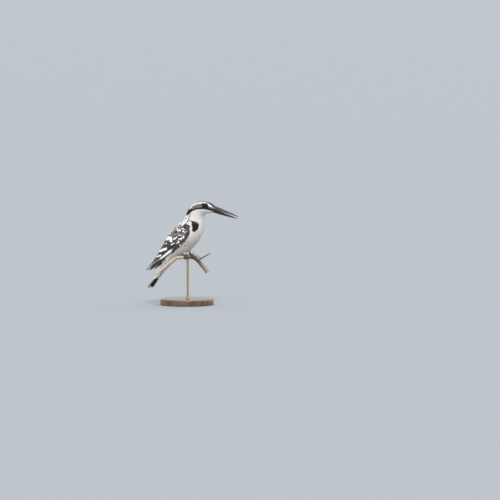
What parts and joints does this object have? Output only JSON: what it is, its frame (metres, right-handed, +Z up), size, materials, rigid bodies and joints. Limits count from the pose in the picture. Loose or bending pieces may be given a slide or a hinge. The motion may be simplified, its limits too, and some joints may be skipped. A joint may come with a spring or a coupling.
{
  "type": "pied kingfisher model on a perch and display stand",
  "caption": "Life-size still model of a pied kingfisher leaning forward on a cut thorny branch, held by a rod over a round base.",
  "frame": {"origin": "centre of the stand base's underside", "axes": "+Z up, the bird faces -Y, its right side is at -X"},
  "size_m": [0.1123, 0.201, 0.2131],
  "materials": {
    "white_plumage": "matt",
    "pied_plumage": "matt",
    "dark_plumage": "matt",
    "eye": "glossy",
    "horn": "satin",
    "foot_skin": "matt",
    "bark": "rough",
    "wood": "satin varnish",
    "brass": "polished"
  },
  "bodies": {
    "root": {"bill_lower": "horn", "bill_upper": "horn", "claw_hind_left": "horn", "claw_hind_right": "horn", "claw_inner_left": "horn", "claw_inner_right": "horn", "claw_middle_left": "horn", "claw_middle_right": "horn", "claw_outer_left": "horn", "claw_outer_right": "horn", "eye_left": "eye", "eye_right": "eye", "head": "white_plumage", "neck": "white_plumage", "perch_branch": "bark", "stand_base": "wood", "stand_rod": "brass", "tail_left": "dark_plumage", "tail_middle": "dark_plumage", "tail_right": "dark_plumage", "tarsus_left": "foot_skin", "tarsus_right": "foot_skin", "toe_hind_left": "foot_skin", "toe_hind_right": "foot_skin", "toe_inner_left": "foot_skin", "toe_inner_right": "foot_skin", "toe_middle_left": "foot_skin", "toe_middle_right": "foot_skin", "toe_outer_left": "foot_skin", "toe_outer_right": "foot_skin", "trunk": "white_plumage", "wing_left_coverts": "pied_plumage", "wing_left_primaries": "dark_plumage", "wing_left_secondaries": "pied_plumage", "wing_right_coverts": "pied_plumage", "wing_right_primaries": "dark_plumage", "wing_right_secondaries": "pied_plumage"}
  },
  "joints": []
}
